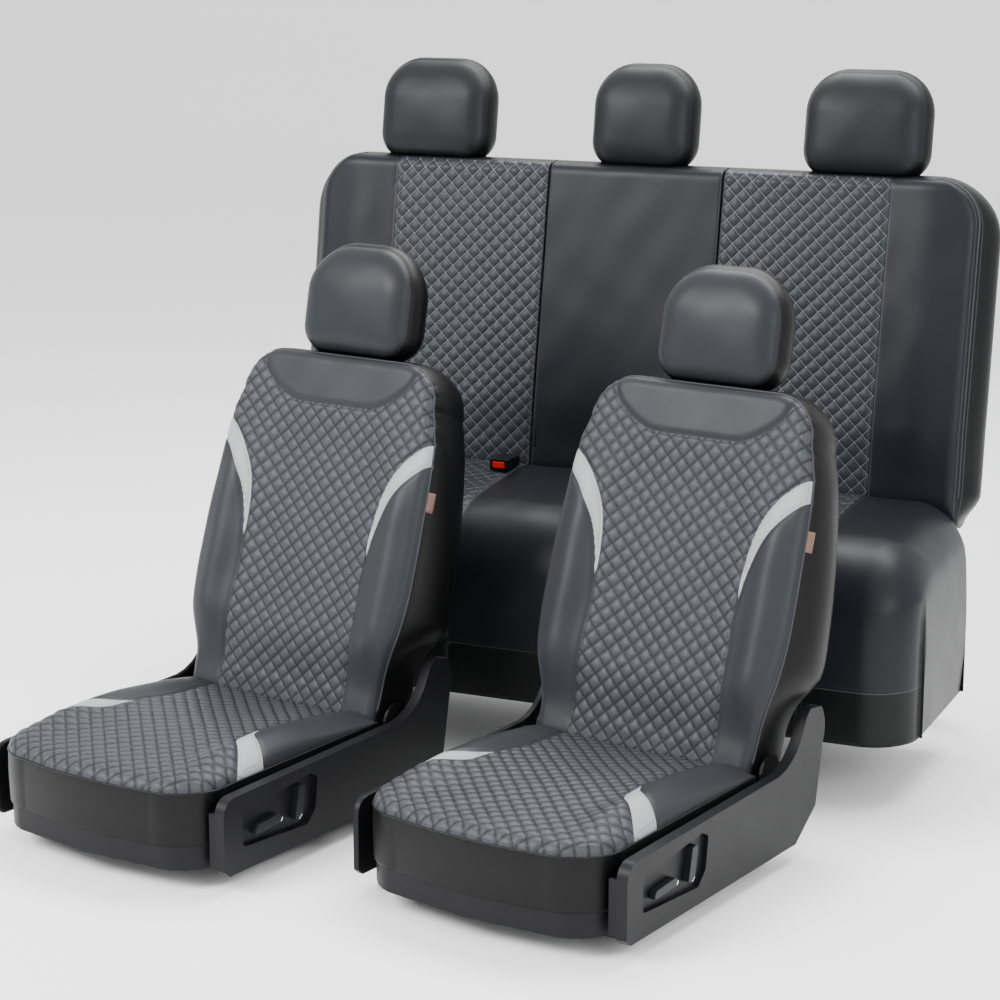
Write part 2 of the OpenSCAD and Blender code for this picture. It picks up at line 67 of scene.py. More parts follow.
def frame_of(origin, across, depth, up):
    """Returns a map from (across, depth, up) in mm to the row frame in metres, for arrays of points."""
    axes = np.stack([unit(across), unit(depth), unit(up)]) * MM
    start = np.array(origin, float)
    return lambda points: start + np.asarray(points, float) @ axes


def back_frame(hinge, height):
    """Frame of a backrest: across is the hinge's axis, up is the headrest's travel, depth points backwards."""
    across = unit(joints[hinge]["axis"])
    up = unit(joints[height]["axis"])
    return frame_of(joints[hinge]["pos_m"], across, np.cross(up, across), up)


def cushion_frame(side):
    """Frame of a front cushion: the hinge stands at depth 345 and height 168 in it."""
    hinge = joints[side + "_recline"]
    forward = unit(joints[side + "_seat_slide"]["axis"])
    to_row = frame_of([0, 0, 0], hinge["axis"], -forward, [0, 0, 1])
    origin = np.array(hinge["pos_m"]) - to_row(np.array([0.0, 345.0, 168.0]))
    return frame_of(origin, hinge["axis"], -forward, [0, 0, 1])


# %% [markdown]
# ## Surfaces from grids of numbers
# A sewn cover is a few panels joined at seams. Each panel is a function of two parameters on a grid.
# The grids of a piece are put in one mesh, their shared edges are merged, and the faces are turned
# outwards. Float attributes carry the pattern's own coordinates to the material.

# %% Grid and mesh helpers


def grid_quads(rows, cols, first=0):
    """Corner numbers of the quads of a rows x cols grid of points whose first point has number first."""
    a = np.arange(rows - 1)[:, None] * cols + np.arange(cols - 1)[None, :]
    return np.stack([a, a + 1, a + cols + 1, a + cols], -1).reshape(-1, 4) + first


def write_mesh(name, points, quads, values):
    """A mesh from points in metres, quads and a dict of per-point arrays, each one number or three."""
    mesh = bpy.data.meshes.new(name)
    mesh.vertices.add(len(points))
    mesh.vertices.foreach_set("co", np.asarray(points, np.float32).ravel())
    mesh.loops.add(quads.size)
    mesh.loops.foreach_set("vertex_index", quads.ravel().astype(np.int32))
    mesh.polygons.add(len(quads))
    mesh.polygons.foreach_set("loop_start", np.arange(0, quads.size, 4, dtype=np.int32))
    mesh.polygons.foreach_set("loop_total", np.full(len(quads), 4, np.int32))
    mesh.update(calc_edges=True)
    for key, value in values.items():
        value = np.asarray(value, np.float32)
        wide = value.ndim == 2
        layer = mesh.attributes.new(key, "FLOAT_VECTOR" if wide else "FLOAT", "POINT")
        layer.data.foreach_set("vector" if wide else "value", value.ravel())
    mesh.validate()
    return mesh


def weld(mesh, gap=2e-5, outward=True):
    """Merges doubles, drops collapsed faces and turns the faces outwards."""
    work = bmesh.new()
    work.from_mesh(mesh)
    bmesh.ops.remove_doubles(work, verts=work.verts, dist=gap)
    bmesh.ops.dissolve_degenerate(work, edges=work.edges, dist=gap / 2)
    if outward:
        bmesh.ops.recalc_face_normals(work, faces=work.faces)
    for face in work.faces:
        face.smooth = True
    work.to_mesh(mesh)
    work.free()


def add_piece(name, mesh, material, slot, body, stands_for=()):
    """Links the mesh as a piece that rides on a body, with its material, and may replace CAD nodes; the slot argument
    is not used.
    """
    piece = bpy.data.objects.new(name, mesh)
    bpy.context.scene.collection.objects.link(piece)
    mesh.materials.append(material)
    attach(piece, body)
    if stands_for:
        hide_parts(*stands_for)
    return piece


def join_grids(name, grids, to_row, values=None, outward=True):
    """One welded mesh from a list of (rows, cols, 3) grids in mm; values maps a name to a list of arrays."""
    quads = []
    first = 0
    for grid in grids:
        quads.append(grid_quads(grid.shape[0], grid.shape[1], first))
        first += grid.shape[0] * grid.shape[1]
    points = np.concatenate([grid.reshape(-1, 3) for grid in grids])
    flat = {}
    for key, arrays in (values or {}).items():
        flat[key] = np.concatenate([a.reshape(g.shape[0] * g.shape[1], -1) for a, g in zip(arrays, grids)])
        if flat[key].shape[1] == 1:
            flat[key] = flat[key][:, 0]
    mesh = write_mesh(name, to_row(points), np.concatenate(quads), flat)
    weld(mesh, outward=outward)
    return mesh


# %% [markdown]
# ## Curves and distances
# Seams are smooth lines through a few measured points. The distance to a seam decides where a colour
# starts, how deep the cloth dips and where stitches run, so it is worked out once for all points.

# %% Curve helpers


def smooth(x, low, high):
    """0 below low, 1 above high and an S-curve between."""
    k = np.clip((x - low) / (high - low), 0, 1)
    return k * k * (3 - 2 * k)


def spline(points, per_span=8):
    """Catmull-Rom curve through the points."""
    p = np.array(points, float)
    p = np.vstack([2 * p[0] - p[1], p, 2 * p[-1] - p[-2]])
    t = (np.arange(per_span) / per_span)[:, None]
    spans = [0.5 * (2 * b + (c - a) * t + (2 * a - 5 * b + 4 * c - d) * t ** 2
                    + (3 * b - a - 3 * c + d) * t ** 3)
             for a, b, c, d in zip(p[:-3], p[1:-2], p[2:-1], p[3:])]
    return np.vstack(spans + [p[-2:-1]])


def distance(points, line):
    """Distance from each (n, 2) point to an open line."""
    best = np.full(len(points), 1e9)
    for a, b in zip(line[:-1], line[1:]):
        ab = b - a
        k = np.clip((points - a) @ ab / (ab @ ab + 1e-9), 0, 1)
        best = np.minimum(best, np.linalg.norm(points - a - k[:, None] * ab, axis=1))
    return best


def inside(points, outline):
    """Signed distance to a closed outline: positive inside it."""
    loop = np.vstack([outline, outline[:1]])
    odd = np.zeros(len(points), bool)
    for a, b in zip(loop[:-1], loop[1:]):
        spans = (a[1] > points[:, 1]) != (b[1] > points[:, 1])
        x = a[0] + (points[:, 1] - a[1]) / (b[1] - a[1] + 1e-9) * (b[0] - a[0])
        odd ^= spans & (points[:, 0] < x)
    d = distance(points, loop)
    return np.where(odd, d, -d)


QUILT = 23.0


def pillows(x, u, height=3.2):
    """Quilting: each diamond rises between stitch lines QUILT mm apart that cross at right angles."""
    a = (x + u) * math.sqrt(0.5) / QUILT
    b = (x - u) * math.sqrt(0.5) / QUILT
    return height * (np.abs(np.sin(np.pi * a) * np.sin(np.pi * b))) ** 0.55


# %% [markdown]
# ## A padded slab
# A backrest and a headrest are both slabs: a front panel, a rear panel, and a gusset between them that
# swells outwards because the foam pushes it. The rows climb the slab, and the gusset is carried along
# the outline.

# %% Slab builder


def slab(rows, edges, rear_edges, front, rear, swell, cols=96, wall=13):
    """Grids of a closed slab. Row k is at height rows[k]; its front panel runs from edges[0][k] to edges[1][k]
    and its rear panel from rear_edges[0][k] to rear_edges[1][k]. Depth is front(x, u) or rear(x, u). The gusset
    runs straight from edge to edge plus swell * sin(pi w) along the outline's outward normal. Returns the
    grids and, for each point, the share of the way to the rear."""
    s = np.linspace(-1, 1, cols)
    s = (0.8 * s + 0.2 * np.sin(s * np.pi / 2)) / 2 + 0.5
    u = np.repeat(rows[:, None], cols, 1)
    x = edges[0][:, None] + (edges[1] - edges[0])[:, None] * s
    x_rear = rear_edges[0][:, None] + (rear_edges[1] - rear_edges[0])[:, None] * s
    front_grid = np.stack([x, front(x, u), u], -1)
    rear_grid = np.stack([x_rear, rear(x_rear, u), u], -1)
    w = np.linspace(0, 1, wall)
    bump = np.sin(np.pi * w) ** 0.75
    grids = [front_grid, rear_grid]
    shares = [np.zeros(x.shape), np.ones(x.shape)]
    for side, edge, column in ((-1, edges[0], 0), (1, edges[1], -1)):
        run = np.gradient(rows)
        lean = np.gradient(edge)
        normal = np.stack([side * run, np.zeros_like(run), -side * lean], -1)
        normal /= np.linalg.norm(normal, axis=1)[:, None] + 1e-9
        normal[-1] = [0, 0, 1]
        normal[0] = [0, 0, -1]
        f = front_grid[:, column][:, None, :]
        r = rear_grid[:, column][:, None, :]
        grid = f + (r - f) * w[None, :, None]
        grids.append(grid + normal[:, None, :] * (swell[:, None] * bump)[:, :, None])
        shares.append(np.repeat(w[None, :], len(rows), 0))
    for row, way in ((-1, 1), (0, -1)):
        f = front_grid[row][:, None, :]
        r = rear_grid[row][:, None, :]
        grid = f + (r - f) * w[None, :, None]
        grid[..., 2] += way * swell[row] * bump[None, :]
        grids.append(grid)
        shares.append(np.repeat(w[None, :], cols, 0))
    return grids, shares


def carry(field, share, number):
    """A front-panel field carried on from the rim over panel number of a slab, falling fast to outside."""
    rim = {2: field[:, 0], 3: field[:, -1], 4: field[-1], 5: field[0]}.get(number)
    if rim is None:
        return share * 0 - 50.0
    return rim[:, None] - 400 * share


def tube(path, radius, sides=8, closed=False):
    """Grid of a round cord of that radius along a path in mm. The ring turns with the path's direction."""
    p = np.array(path, float)
    along = np.gradient(p, axis=0)
    if closed:
        along = np.roll(p, -1, 0) - np.roll(p, 1, 0)
        p = np.vstack([p, p[:1]])
        along = np.vstack([along, along[:1]])
    along /= np.linalg.norm(along, axis=1)[:, None] + 1e-9
    ref = np.array([0.31, -0.9, 0.27])
    one = np.cross(along, ref)
    one /= np.linalg.norm(one, axis=1)[:, None] + 1e-9
    two = np.cross(along, one)
    a = np.linspace(0, 2 * np.pi, sides + 1)
    ring = one[:, None] * np.cos(a)[None, :, None] + two[:, None] * np.sin(a)[None, :, None]
    scale = np.ones(len(p)) * radius
    if not closed:
        scale[[0, -1]] = radius * 0.02
    return p[:, None] + ring * scale[:, None, None]


# %% [markdown]
# ## Materials
# One helper adds a node with its settings and links. Colours are the sRGB hex values that a swatch
# card would give, turned to linear light. Each pattern is sized in real millimetres.

# %% Material helpers


def linear(code):
    """An sRGB hex colour such as "8a8c90" as linear RGBA."""
    rgb = [int(code[i:i + 2], 16) / 255 for i in (0, 2, 4)]
    return [c / 12.92 if c <= 0.04045 else ((c + 0.055) / 1.055) ** 2.4 for c in rgb] + [1.0]


def add(tree, kind, inputs=None, out=0, **settings):
    """Adds one shader node, sets its settings, sets or links its inputs, and returns one of its outputs."""
    n = tree.nodes.new("ShaderNode" + kind)
    for key, value in settings.items():
        setattr(n, key, value)
    for key, value in (inputs or {}).items():
        if isinstance(value, bpy.types.NodeSocket):
            tree.links.new(value, n.inputs[key])
        else:
            n.inputs[key].default_value = value
    return n.outputs[out]


def new_material(name):
    """An empty material with its output node, and its node tree."""
    material = bpy.data.materials.new(name)
    material.use_nodes = True
    material.node_tree.nodes.clear()
    return material, material.node_tree


def close_material(tree, colour, rough, bump=None, **constants):
    """Ends a tree in a Principled surface. Constants go straight on the shader's own sockets."""
    inputs = {"Base Color": colour, "Roughness": rough, "Specular IOR Level": 0.16}
    inputs.update({key.replace("_", " "): value for key, value in constants.items()})
    if bump is not None:
        inputs["Normal"] = bump
    surface = add(tree, "BsdfPrincipled", inputs)
    end = tree.nodes.new("ShaderNodeOutputMaterial")
    tree.links.new(surface, end.inputs["Surface"])


# settings for a smooth ramp and for a mix of two colours
SOFT = {"interpolation_type": "SMOOTHSTEP"}
TWO_COLOURS = {"data_type": "RGBA"}


# %% [markdown]
# ### Coated cloth
# The covers are polyurethane-coated cloth, often sold as PU leather: a soft knit with a thin embossed
# skin. Its grain is about 0.8 mm, drawn at 2 mm so that it shows, with a slight change of tone, and a
# satin gloss. Thread in the quilting is dark on the front seats and paler on the bench. Attributes give the distance to
# each seam, so that one material can colour a whole sewn cover with crisp seams.

# %% The cover material


def cover_material(name, smooth_hex, quilt_hex, thread_hex, accent_hex, gusset_hex, rough, stitch=True):
    """Coated cloth with quilt, accent and gusset zones from attributes, stitch lines from "pat", and painted shade that
    darkens each quilted diamond towards its stitch lines.
    """
    material, tree = new_material(name)
    place = add(tree, "TexCoord", out="Object")
    grain = add(tree, "TexVoronoi", {"Vector": place, "Scale": 480.0}, feature="F1")
    mottle = add(tree, "TexNoise", {"Vector": place, "Scale": 14.0, "Detail": 3.0})
    fine = add(tree, "TexNoise", {"Vector": place, "Scale": 900.0, "Detail": 2.0})
    pat = add(tree, "Attribute", out="Vector", attribute_name="pat")
    x = add(tree, "SeparateXYZ", {0: pat}, out=0)
    u = x.node.outputs[1]
    root = math.sqrt(0.5) / QUILT
    total = add(tree, "Math", {0: x, 1: u}, operation="ADD")
    other = add(tree, "Math", {0: x, 1: u}, operation="SUBTRACT")
    a = add(tree, "Math", {0: total, 1: root}, operation="MULTIPLY")
    b = add(tree, "Math", {0: other, 1: root}, operation="MULTIPLY")
    lines = []
    gaps = []
    for line, run in ((a, b), (b, a)):
        gap = add(tree, "Math", {0: line, 1: 0.5}, operation="PINGPONG")
        gap = add(tree, "Math", {0: gap, 1: QUILT}, operation="MULTIPLY")
        gaps.append(gap)
        beat = add(tree, "Math", {0: run, 1: QUILT / 4.6}, operation="MULTIPLY")
        beat = add(tree, "Math", {0: beat, 1: 0.5}, operation="PINGPONG")
        dash = add(tree, "MapRange", {0: beat, 1: 0.10, 2: 0.16}, **SOFT)
        thread = add(tree, "MapRange", {0: gap, 1: 1.15, 2: 0.75}, **SOFT)
        lines.append(add(tree, "Math", {0: thread, 1: dash}, operation="MULTIPLY"))
    near = add(tree, "Math", {0: gaps[0], 1: gaps[1]}, operation="MINIMUM")
    thread = add(tree, "Math", {0: lines[0], 1: lines[1]}, operation="MAXIMUM")
    zones = []
    for key in ("quilt", "accent", "gusset"):
        edge = add(tree, "Attribute", out="Fac", attribute_name=key)
        zones.append(add(tree, "MapRange", {0: edge, 1: -0.4, 2: 0.4}, **SOFT))
    quilt, accent, gusset = zones
    seam = add(tree, "Attribute", out="Fac", attribute_name="seam")
    # Painted shade: each quilted diamond darkens to half its colour within 5.5 mm of its stitch lines. The same groove
    # mask also drives the pillow bump.
    groove = add(tree, "MapRange", {0: near, 1: 0.3, 2: 5.5}, **SOFT)
    groove_shade_colour = [c * 0.5 for c in linear(quilt_hex)[:3]] + [1]
    quilted = add(tree, "Mix", {0: groove, 6: groove_shade_colour, 7: linear(quilt_hex)}, 2, **TWO_COLOURS)
    quilted = add(tree, "Mix", {0: thread, 6: quilted, 7: linear(thread_hex)}, 2, **TWO_COLOURS)
    colour = add(tree, "Mix", {0: quilt, 6: linear(smooth_hex), 7: quilted}, 2, **TWO_COLOURS)
    colour = add(tree, "Mix", {0: accent, 6: colour, 7: linear(accent_hex)}, 2, **TWO_COLOURS)
    colour = add(tree, "Mix", {0: gusset, 6: colour, 7: linear(gusset_hex)}, 2, **TWO_COLOURS)
    dark = add(tree, "MapRange", {0: seam, 1: 2.2, 2: 0.4}, **SOFT)
    dark = add(tree, "Math", {0: dark, 1: 0.6}, operation="MULTIPLY")
    colour = add(tree, "Mix", {0: dark, 6: colour, 7: linear("0e0f11")}, 2, **TWO_COLOURS)
    if stitch:
        off = add(tree, "Math", {0: seam, 1: 5.0}, operation="SUBTRACT")
        off = add(tree, "Math", {0: off}, operation="ABSOLUTE")
        row = add(tree, "MapRange", {0: off, 1: 0.9, 2: 0.5}, **SOFT)
        beat = add(tree, "Math", {0: u, 1: 1 / 5.0}, operation="MULTIPLY")
        beat = add(tree, "Math", {0: beat, 1: 0.5}, operation="PINGPONG")
        dash = add(tree, "MapRange", {0: beat, 1: 0.12, 2: 0.18}, **SOFT)
        row = add(tree, "Math", {0: row, 1: dash}, operation="MULTIPLY")
        row = add(tree, "Math", {0: row, 1: 0.35}, operation="MULTIPLY")
        colour = add(tree, "Mix", {0: row, 6: colour, 7: linear(thread_hex)}, 2, **TWO_COLOURS)
    shade = add(tree, "MapRange", {"Value": mottle, "To Min": 0.93, "To Max": 1.05})
    colour = add(tree, "VectorMath", {0: colour, "Scale": shade}, operation="SCALE")
    height = add(tree, "Math", {0: grain, 1: 0.28}, operation="MULTIPLY")
    height = add(tree, "Math", {0: fine, 1: 0.12, 2: height}, operation="MULTIPLY_ADD")
    pillow = add(tree, "Math", {0: groove, 1: quilt}, operation="MULTIPLY")
    height = add(tree, "Math", {0: pillow, 1: 1.6, 2: height}, operation="MULTIPLY_ADD")
    stitches = add(tree, "Math", {0: thread, 1: quilt}, operation="MULTIPLY")
    height = add(tree, "Math", {0: stitches, 1: 0.8, 2: height}, operation="MULTIPLY_ADD")
    bump = add(tree, "Bump", {"Height": height, "Strength": 0.45, "Distance": 0.0008})
    gloss = add(tree, "MapRange", {"Value": mottle, "To Min": rough - 0.05, "To Max": rough + 0.06})
    close_material(tree, colour, gloss, bump)
    return material


front_cloth = cover_material("coated_cloth_grey", "25272b", "383a3f", "15161a", "8f9192", "070708", 0.42)
rear_cloth = cover_material("coated_cloth_charcoal", "14161b", "23262c", "54565a", "3c3e43", "0b0c0d", 0.38)
head_cloth = cover_material("coated_cloth_smooth", "141519", "141519", "2c2d30", "141519", "0a0a0c", 0.42,
                            stitch=False)

# %% [markdown]
# ### Plain finishes
# Moulded polypropylene has a fine spark-eroded grain and little gloss. The frames are electrocoated
# steel, the rails phosphated steel, and the posts are chromed. Foam is a pale open cell.

# %% Plain finish materials


def plain_material(name, hex_a, hex_b, rough, scale, depth, kind="TexNoise", **constants):
    """A finish with two tones and a grain of the given scale (per metre) and bump depth (metres)."""
    material, tree = new_material(name)
    place = add(tree, "TexCoord", out="Object")
    grain = add(tree, kind, {"Vector": place, "Scale": scale})
    tone = add(tree, "TexNoise", {"Vector": place, "Scale": 22.0, "Detail": 4.0})
    colour = add(tree, "Mix", {0: tone, 6: linear(hex_a), 7: linear(hex_b)}, 2, **TWO_COLOURS)
    gloss = add(tree, "MapRange", {"Value": tone, "To Min": rough - 0.06, "To Max": rough + 0.06})
    bump = add(tree, "Bump", {"Height": grain, "Strength": 0.5, "Distance": depth})
    close_material(tree, colour, gloss, bump, **constants)
    return material


# spark-eroded grain about 0.5 mm, drawn at 1 mm
valance_plastic = plain_material("grained_polypropylene", "0c0c0e", "131315", 0.44, 900.0, 0.00025)
switch_plastic = plain_material("satin_abs", "141517", "1d1e20", 0.32, 1200.0, 0.0001)
red_plastic = plain_material("moulded_red_abs", "c5160f", "d3241b", 0.3, 900.0, 0.00005)
buckle_plastic = plain_material("black_acetal", "0a0a0b", "101012", 0.34, 900.0, 0.0001)
frame_steel = plain_material("electrocoated_steel", "0a0a0b", "0f0f11", 0.45, 260.0, 0.0001)
rail_steel = plain_material("phosphated_steel", "4a4b4d", "5a5b5d", 0.5, 300.0, 0.0001, Metallic=0.8,
                            Specular_IOR_Level=0.5)
chrome = plain_material("chrome_plate", "c8c9cb", "d2d3d5", 0.12, 40.0, 0.00002, Metallic=1.0,
                        Specular_IOR_Level=0.5)
foam = plain_material("moulded_foam", "b9b196", "cdc6ad", 0.9, 420.0, 0.0008, kind="TexVoronoi")
elastic = plain_material("woven_elastic", "09090a", "141416", 0.8, 700.0, 0.0004, kind="TexVoronoi")
piping = plain_material("piping_cord", "2c2d31", "36373b", 0.38, 800.0, 0.0001)
dark_piping = plain_material("dark_piping_cord", "111214", "17181b", 0.40, 800.0, 0.0001)
tag_cloth = plain_material("woven_tag", "5e4840", "6f574e", 0.6, 1500.0, 0.0002, kind="TexVoronoi")
print("materials", len(bpy.data.materials))

# %% [markdown]
# ## Studio
# A pale seamless sweep, one big soft light high on the left, a weaker one on the right and a strip behind
# that draws the sheen along the tops. The camera stands to the driver's side, a little above the seats.

# %% Sweep, lights and camera
sweep_y = [-14.0, 9.0]
sweep_r = 5.0
turn = np.linspace(0, np.pi / 2, 24)
profile = np.vstack([[sweep_y[0], 0.0], np.stack([sweep_y[1] + sweep_r * np.sin(turn),
                     sweep_r * (1 - np.cos(turn))], -1), [sweep_y[1] + sweep_r, 16.0]])
across = np.linspace(-16, 16, 9)
sweep_points = np.stack([np.repeat(across[:, None], len(profile), 1),
                         np.repeat(profile[None, :, 0], 9, 0), np.repeat(profile[None, :, 1], 9, 0)], -1)
sweep_mesh = write_mesh("studio_sweep", sweep_points.reshape(-1, 3), grid_quads(9, len(profile)), {})
sweep_mesh.polygons.foreach_set("use_smooth", np.ones(len(sweep_mesh.polygons), bool))
paper, paper_tree = new_material("matt_white_paper")
paper_place = add(paper_tree, "TexCoord", out="Object")
paper_tone = add(paper_tree, "TexNoise", {"Vector": paper_place, "Scale": 0.6})
paper_white = {0: paper_tone, 6: linear("f6f6f6"), 7: linear("f9f9f9")}
close_material(paper_tree, add(paper_tree, "Mix", paper_white, 2, **TWO_COLOURS), 0.9)
sweep_mesh.materials.append(paper)
sweep = bpy.data.objects.new("studio_sweep", sweep_mesh)
bpy.context.scene.collection.objects.link(sweep)

world = bpy.data.worlds.new("soft_room")
world.use_nodes = True
world.node_tree.nodes["Background"].inputs["Color"].default_value = linear("ffffff")
world.node_tree.nodes["Background"].inputs["Strength"].default_value = 1.55
bpy.context.scene.world = world


def soft_light(name, place, aim, size, power):
    """A square soft light at place that looks at aim."""
    data = bpy.data.lights.new(name, "AREA")
    data.shape = "RECTANGLE"
    data.size, data.size_y = size
    data.energy = power
    light = bpy.data.objects.new(name, data)
    bpy.context.scene.collection.objects.link(light)
    look = Vector(aim) - Vector(place)
    light.location = place
    light.rotation_euler = look.to_track_quat("-Z", "Y").to_euler()
    return light


soft_light("key_light", (-2.6, -3.6, 3.6), (-0.1, 0.0, 0.5), (2.6, 2.2), 420)
soft_light("fill_light", (3.6, -2.6, 2.2), (0.2, 0.0, 0.6), (2.0, 2.0), 90)
soft_light("top_light", (0.4, 1.2, 3.4), (0.1, 0.2, 0.5), (3.4, 1.6), 210)

azimuth = math.radians(23.84)
pitch = math.radians(13.26)
camera_data = bpy.data.cameras.new("camera")
camera_data.lens = 92.1
camera_data.sensor_width = 36.0
camera_data.clip_end = 200
camera = bpy.data.objects.new("camera", camera_data)
bpy.context.scene.collection.objects.link(camera)
back = Vector((math.sin(azimuth) * math.cos(pitch), -math.cos(azimuth) * math.cos(pitch), math.sin(pitch)))
camera.location = Vector((0.0755, -0.2151, 0.6235)) + back * 4.706
camera.rotation_euler = (-back).to_track_quat("-Z", "Y").to_euler()
bpy.context.scene.camera = camera
print("camera", [round(c, 3) for c in camera.location])

# %% [markdown]
# ## Front backrest cover
# The cover is cut in a dozen panels: a quilted middle that widens to the shoulders, a smooth yoke under
# the headrest, plain bolsters, and a pale crescent on each side where the quilt meets the bolster. It is
# drawn as one shell. The seam lines are given for the right half and mirrored, and each one makes a dip.

# %% Backrest shape
BACK_LEN = 676.0
KNUCKLE = 62.0
SHOULDER = (148.0, 591.0, 85.0)
climb = np.linspace(0, np.pi / 2, 11)
back_rows = np.concatenate([-KNUCKLE * np.cos(climb), np.linspace(0, SHOULDER[1], 148)[1:],
                            SHOULDER[1] + SHOULDER[2] * np.sin(np.linspace(0, np.pi / 2, 24)[1:])])


def along(u, knots):
    """A smooth curve through (u, value) knots, read at u."""
    line = spline(knots)
    return np.interp(u, line[:, 0], line[:, 1])


def shouldered(u, knots):
    """Half width at height u: the knots' curve, then the shoulder's arc."""
    x, low, r = SHOULDER
    arc = x + np.sqrt(np.clip(r * r - (u - low) ** 2, 0, None))
    return np.where(u > low, arc, along(u, knots))


front_half = shouldered(back_rows, [(-80, 226), (0, 228), (60, 232), (100, 241), (150, 254), (200, 260), (264, 262),
                                    (400, 259), (500, 254), (550, 245), (591, 233)])
rear_half = shouldered(back_rows, [(-80, 232), (0, 233), (60, 234), (96, 237), (130, 249), (165, 272), (200, 287),
                                   (300, 284), (400, 274), (500, 258), (550, 246), (591, 233)])
back_swell = along(back_rows, [(-80, 1), (0, 2), (60, 4), (110, 6), (170, 14), (250, 16), (400, 14), (600, 10),
                               (700, 9)])
inner_seam = spline([(156, -90), (154, 64), (153, 137), (152, 195), (150, 245), (151, 285), (152, 335),
                     (155, 374), (162, 413), (175, 447), (195, 479), (217, 503), (240, 522), (300, 556)])
outer_seam = spline([(150.5, 262), (156, 304), (163, 343), (174, 381), (187, 409), (206, 437), (231, 466),
                     (262, 492), (300, 520)])
yoke_line = spline([(0, 577), (84, 578), (120, 588), (153, 608), (180, 636), (196, 690)])
quilt_zone = np.vstack([inner_seam, [(360, 600), (360, 800), (-200, 800), (-200, -90)]])
accent_zone = np.vstack([inner_seam[inner_seam[:, 1] > 262], outer_seam[::-1]])
yoke_zone = np.vstack([[(-200, 577)], yoke_line, [(150, 760), (-200, 760)]])
outline = np.vstack([[(-200, -90)], np.stack([front_half, back_rows], -1), [(-200, BACK_LEN)]])


def back_fields(x, u):
    """Signed distances in mm on the front panel: quilt, accent and yoke (positive inside), the nearest seam
    and the outline."""
    p = np.stack([np.abs(x).ravel(), u.ravel()], -1)
    yoke = inside(p, yoke_zone)
    accent = inside(p, accent_zone)
    quilt = np.minimum(inside(p, quilt_zone), -yoke)
    bolster_seam = distance(p, inner_seam)
    seam = np.minimum.reduce([np.abs(accent), np.abs(yoke), bolster_seam])
    edge = np.clip(inside(p, outline), 0, None)
    return [f.reshape(x.shape) for f in (quilt, accent, yoke, seam, edge)]


def roll(edge, radius, height):
    """Rounding of an edge: 0 further in than radius, rising to height at the edge as a quarter circle."""
    q = 1 - np.clip(edge / radius, 0, 1)
    return height * (1 - np.sqrt(1 - q * q * 0.999))


def slack(x, u, size=0.9):
    """Slight unevenness of cloth pulled over foam: a few long crossing waves, in mm."""
    return size * (np.sin(x / 31 + 1.3 * np.sin(u / 57)) * np.sin(u / 43 + 0.8) + 0.5 * np.sin(x / 17 - u / 29))


def back_front(x, u):
    """Depth of the front panel: the knuckle's circle at the bottom, then a panel with raised bolsters."""
    quilt, accent, yoke, seam, edge = back_fields(x, u)
    ax = np.abs(x)
    round_part = -np.sqrt(np.clip(KNUCKLE ** 2 - np.minimum(u, 0) ** 2, 0, None))
    high = smooth(u, 0, 30)
    t = round_part - 16 * smooth(u, 40, 150)
    t = t + 7 * (1 - smooth(ax, 95, 165)) * smooth(u, 60, 170) * (1 - smooth(u, 480, 580))
    t = t - 17 * np.exp(-((ax - 208) / 34) ** 2) * smooth(u, 30, 170) * (1 - smooth(u, 360, 560))
    t = t - 3.0 * smooth(yoke, -2, 12) - high * pillows(x, u) * smooth(quilt, -1, 9)
    t = t + high * (2.6 * np.exp(-(seam / 3.5) ** 2) + slack(x, u))
    return t + roll(edge, 20, 17) * smooth(u, -62, -5)


def back_rear(x, u):
    """Depth of the rear panel: the knuckle's circle, then a flat panel that thins to the top."""
    half = np.interp(u, back_rows, rear_half)
    t = np.sqrt(np.clip(KNUCKLE ** 2 - np.minimum(u, 0) ** 2, 0, None)) - 12 * smooth(u, 0, 640)
    edge = np.minimum(half - np.abs(x), BACK_LEN - u)
    return t - roll(np.clip(edge, 0, None), 18, 15) * smooth(u, -62, -5)


